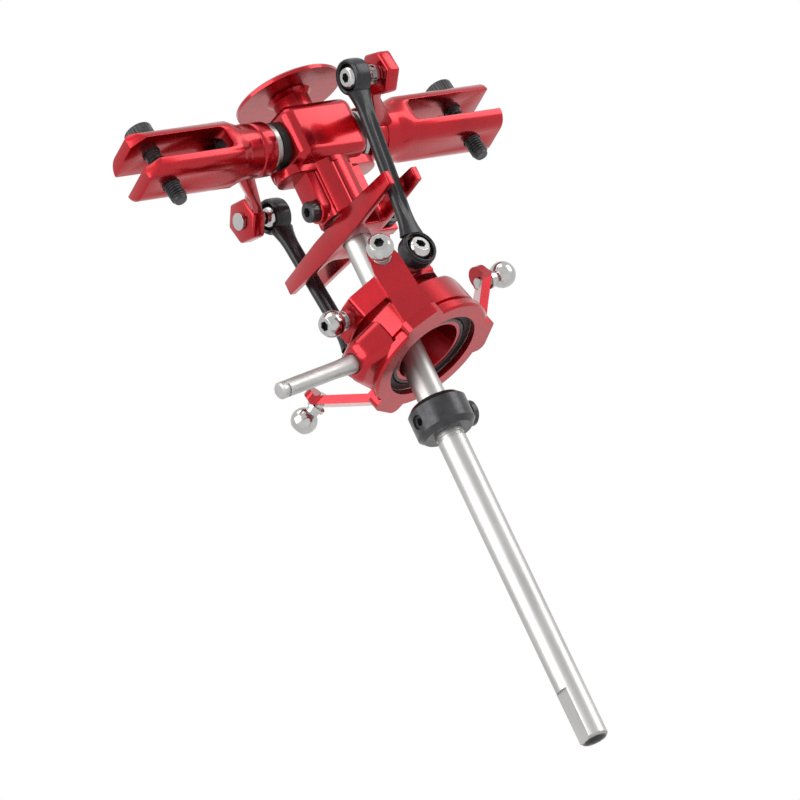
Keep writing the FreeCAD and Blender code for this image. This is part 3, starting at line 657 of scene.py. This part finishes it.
# ---- follower arm -------------------------------------------------------------------------
def follower_arm():
    """H-shaped arm with square tips, its clamp flush with the two bars."""
    half, tip_half, root, reach, out = 2.0, 1.25, 6.0, 17.9, 3.5
    slot_half, slot_from, beyond = 2.25, 5.9, 25
    ring_r, ear_x, ear_half = 3.47, 7.4, 2.4
    screw_r, screw_x, split_half = 0.95, 5.9, 0.4
    middle = FOLLOWER_HEIGHT
    low, high = middle - half, middle + half
    through = (low - 1, high + 1)
    outline = [(-root, low), (root, low), (reach, middle - tip_half), (reach, middle + tip_half),
               (root, high), (-root, high), (-reach, middle + tip_half), (-reach, middle - tip_half)]
    arm = prism("follower_arm_machined", [(-out, y, z) for y, z in outline], (2 * out, 0, 0))
    ear = box("ear", (0, ear_x), (-ear_half, ear_half), (low, high))
    ring = lathe("ring", [(ring_r, low), (ring_r, high)], 64)
    arm = joined(arm, [ear, ring], "UNION")
    cuts = [box("slot", (-slot_half, slot_half), sorted((side * slot_from, side * beyond)), through,
                bevel=1.0, segments=4) for side in (-1, 1)]
    cuts.append(lathe("bore", [(SHAFT_R, z) for z in through], 48))
    cuts.append(box("split", (2.0, 9), (-split_half, split_half), through))
    cuts.append(moved(lathe("screw", [(screw_r, -3), (screw_r, 3)], 24, "Y"), x=screw_x, z=middle))
    arm = eased(ordered(joined(arm, cuts, "DIFFERENCE")), width=0.18)
    finished(arm, Matrix.Identity(4), "anodised_red", "head", ["follower_arm"])


# ---- head block ---------------------------------------------------------------------------
def head_block():
    """Rounded block on a fluted clamp tube, with stop tabs under the spindle ends."""
    axle = HEAD_AXLE.z / MM
    low, high = axle - 5.5, axle + 5.0
    tab_low, tab_high = low - 1.2, low + 0.4
    tab_centre, tab_r = 6.85, 3
    tube_r, tube_end, chamfer = 4.7, 101.0, 0.25
    boss_r, boss_out, boss_edge = 2.2, 5.6, 0.2
    flute_r, flute_out = 1.0, 0.55
    spindle_r, bolt_r, post_r, beyond = 3.32, 0.97, 1.5, 9
    body = box("head_block_rounded", (-7.2, 7.2), (-6.0, 6.0), (low, high), bevel=1.9, segments=5)
    tab = box("tab", (-tab_centre, tab_centre), (-tab_r, tab_r), (tab_low, tab_high))
    ends = [moved(lathe("end", [(tab_r, tab_low), (tab_r, tab_high)], 48), x=side * tab_centre)
            for side in (-1, 1)]
    boss = lathe("boss", [(boss_r - boss_edge, -boss_out), (boss_r, boss_edge - boss_out),
                          (boss_r, boss_out - boss_edge), (boss_r - boss_edge, boss_out)], 40, "X")
    moved(boss, z=HUB_BOLT_HEIGHT)
    rib = box("rib", (-boss_out, boss_out), (-boss_r, boss_r), (HUB_BOLT_HEIGHT, low + 1))
    tube = lathe("tube", [(tube_r - chamfer, tube_end), (tube_r, tube_end + chamfer), (tube_r, low + 1)], 72)
    flutes = []
    for angle in (-150, -100, -50, 50, 100, 150):
        flute = lathe("flute", [(flute_r, tube_end - 1), (flute_r, low - 0.8)], 24)
        turn = Matrix.Rotation(math.radians(angle), 4, "Z")
        flute.data.transform(turn @ Matrix.Translation((tube_r + flute_out, 0, 0)))
        flutes.append(flute)
    tube = joined(tube, flutes, "DIFFERENCE")
    body = joined(body, [tab] + ends + [tube, boss, rib], "UNION")
    shaft = lathe("shaft", [(SHAFT_R, 99), (SHAFT_R, 111)], 48)
    spindle = moved(lathe("spindle", [(spindle_r, -beyond), (spindle_r, beyond)], 48, "X"), z=axle)
    bolt = moved(lathe("bolt", [(bolt_r, -beyond), (bolt_r, beyond)], 24, "X"), z=HUB_BOLT_HEIGHT)
    post = lathe("post", [(post_r, axle), (post_r, high + 1)], 32)
    body = joined(body, [shaft, spindle, bolt, post], "DIFFERENCE")
    finished(eased(body, width=0.16), Matrix.Identity(4), "anodised_red", "head", ["head_block"])


# ---- swashplate ---------------------------------------------------------------------------
def pin_boss():
    """Boss that flares out of the fixed ring round the root of the anti-rotation pin."""
    stations, root, tip = 12, 9.9, 14.6
    half_wide, half_high, corner = 2.8, 2.75, 2.0
    wide_flare, high_flare, edge_from, edge_rate = 3.4, 0.6, 0.85, 22
    hole_r, inside_r = 1.78, 10.5
    rings = []
    for i in range(stations + 1):
        t = i / stations
        flare = 1 - t
        edge = max(0.0, t - edge_from) ** 2 * edge_rate
        a, b = half_wide + wide_flare * flare - edge, half_high + high_flare * flare - edge
        ring = []
        for angle in ring_angles(48):
            r = rounded_radius(angle, a, b, corner)
            ring.append((root + (tip - root) * t, r * math.cos(angle), PIN_HEIGHT + r * math.sin(angle)))
        rings.append(ring)
    boss = lofted("pin_boss", rings)
    hole = moved(lathe("hole", [(hole_r, 9), (hole_r, 16)], 32, "X"), z=PIN_HEIGHT)
    inside = lathe("inside", [(inside_r, -13), (inside_r, -4)], 72)
    boss = joined(boss, [hole, inside], "DIFFERENCE")
    finished(boss, around(PIN_TURN), "anodised_red", "fixed_ring")


# ---- camera, floor and light --------------------------------------------------------------
def camera():
    """The photographer's place, with a long lens."""
    right = Vector((0.78528, -0.46934, -0.40380))
    up = Vector((0.13416, -0.50770, 0.85102))
    place = Matrix.Translation((-0.855417, -1.014724, -0.405154))
    data = bpy.data.cameras.new("camera")
    data.sensor_width = 36
    data.lens = 381.3
    data.clip_start, data.clip_end = 0.1, 50
    obj = bpy.data.objects.new("camera", data)
    obj.matrix_world = place @ Matrix((right, up, BACK)).transposed().to_4x4()
    bpy.context.scene.collection.objects.link(obj)
    bpy.context.scene.camera = obj


def combined(tree, operation, one, two):
    """One value from two, by a math node."""
    node = tree.nodes.new("ShaderNodeMath")
    node.operation = operation
    tree.links.new(one, node.inputs[0])
    tree.links.new(two, node.inputs[1])
    return node.outputs[0]


def mixed(tree, share, one, two):
    """Shader between two others, by the share of the second."""
    node = tree.nodes.new("ShaderNodeMixShader")
    for source, target in zip((share, one, two), node.inputs):
        tree.links.new(source, target)
    return node.outputs[0]


def background_rays(tree):
    """1 for camera, glossy and transmission rays, 0 for the rays that light the object."""
    path = tree.nodes.new("ShaderNodeLightPath")
    seen = path.outputs["Is Camera Ray"]
    for ray in ("Is Glossy Ray", "Is Transmission Ray"):
        seen = combined(tree, "MAXIMUM", seen, path.outputs[ray])
    return seen


def floor_paper():
    """Paper that fades into white away from the middle, and is clear from below and to the lamps."""
    fade_from, fade_to = 0.08, 0.30
    material = bpy.data.materials.new("floor_paper")
    material.use_nodes = True
    tree = material.node_tree
    nodes, links = tree.nodes, tree.links
    nodes.clear()
    paper = nodes.new("ShaderNodeBsdfDiffuse")
    paper.inputs["Color"].default_value = (0.80, 0.80, 0.80, 1)
    white = nodes.new("ShaderNodeEmission")
    white.inputs["Strength"].default_value = 1.0
    away = nodes.new("ShaderNodeVectorMath")
    away.operation = "LENGTH"
    links.new(nodes.new("ShaderNodeTexCoord").outputs["Object"], away.inputs[0])
    fade = nodes.new("ShaderNodeMapRange")
    fade.interpolation_type = "SMOOTHSTEP"
    fade.inputs["From Min"].default_value = fade_from
    fade.inputs["From Max"].default_value = fade_to
    links.new(away.outputs["Value"], fade.inputs["Value"])
    share = combined(tree, "MULTIPLY", fade.outputs["Result"], background_rays(tree))
    top = mixed(tree, share, paper.outputs[0], white.outputs[0])
    below = nodes.new("ShaderNodeNewGeometry").outputs["Backfacing"]
    shadow = nodes.new("ShaderNodeLightPath").outputs["Is Shadow Ray"]
    clear = nodes.new("ShaderNodeBsdfTransparent").outputs[0]
    surface = mixed(tree, combined(tree, "MAXIMUM", below, shadow), top, clear)
    links.new(surface, nodes.new("ShaderNodeOutputMaterial").inputs["Surface"])
    return material


def floor():
    """Pale floor just under the shaft's end, which shows only from above."""
    half, height = 3.0, -0.2 * MM
    bm = bmesh.new()
    bm.faces.new([bm.verts.new((x, y, height)) for x, y in
                  ((-half, -half), (half, -half), (half, half), (-half, half))])
    obj = made("floor", bm)
    if obj.data.polygons[0].normal.z < 0:
        obj.data.flip_normals()
    obj.data.materials.append(floor_paper())


def lamp(name, direction, size, power):
    """Area lamp that faces the middle of the object from a direction."""
    target, distance = Vector((0, 0, 0.085)), 1.1
    data = bpy.data.lights.new(name, "AREA")
    data.shape = "RECTANGLE"
    data.size, data.size_y = size
    data.energy = power
    obj = bpy.data.objects.new(name, data)
    aim = Vector(direction).normalized()
    turn = aim.to_track_quat("Z", "Y").to_matrix().to_4x4()
    obj.matrix_world = Matrix.Translation(target + aim * distance) @ turn
    bpy.context.scene.collection.objects.link(obj)


def room():
    """World that looks white, and lights the object from all round but the camera's side."""
    behind, before, before_from = 0.85, 0.06, 0.8
    world = bpy.data.worlds.new("studio")
    bpy.context.scene.world = world
    world.use_nodes = True
    tree = world.node_tree
    nodes, links = tree.nodes, tree.links
    nodes.clear()
    toward = nodes.new("ShaderNodeVectorMath")
    toward.operation = "DOT_PRODUCT"
    toward.inputs[1].default_value = BACK
    links.new(nodes.new("ShaderNodeTexCoord").outputs["Generated"], toward.inputs[0])
    shade = nodes.new("ShaderNodeMapRange")
    shade.inputs["From Min"].default_value = 0.0
    shade.inputs["From Max"].default_value = before_from
    shade.inputs["To Min"].default_value = behind
    shade.inputs["To Max"].default_value = before
    links.new(toward.outputs["Value"], shade.inputs["Value"])
    light, white = nodes.new("ShaderNodeBackground"), nodes.new("ShaderNodeBackground")
    links.new(shade.outputs["Result"], light.inputs["Strength"])
    white.inputs["Strength"].default_value = 1.0
    for background in (light, white):
        background.inputs["Color"].default_value = (1, 1, 1, 1)
    surface = mixed(tree, background_rays(tree), light.outputs[0], white.outputs[0])
    links.new(surface, nodes.new("ShaderNodeOutputWorld").inputs["Surface"])


def studio():
    lamp("left", (-0.95, -0.10, 0.24), size=(1.1, 1.1), power=13)
    lamp("right", (0.62, -0.68, 0.12), size=(0.55, 1.3), power=8)
    lamp("top", (-0.2, -0.3, 1.0), size=(0.8, 0.8), power=4)
    room()
    bpy.context.scene.view_settings.view_transform = "Standard"


camera()
dress_cad_nodes()
blade_grips()
blade_bolts()
ball_links()
follower_arm()
head_block()
hub_bolt()
pin_boss()
stud_sockets()
floor()
studio()
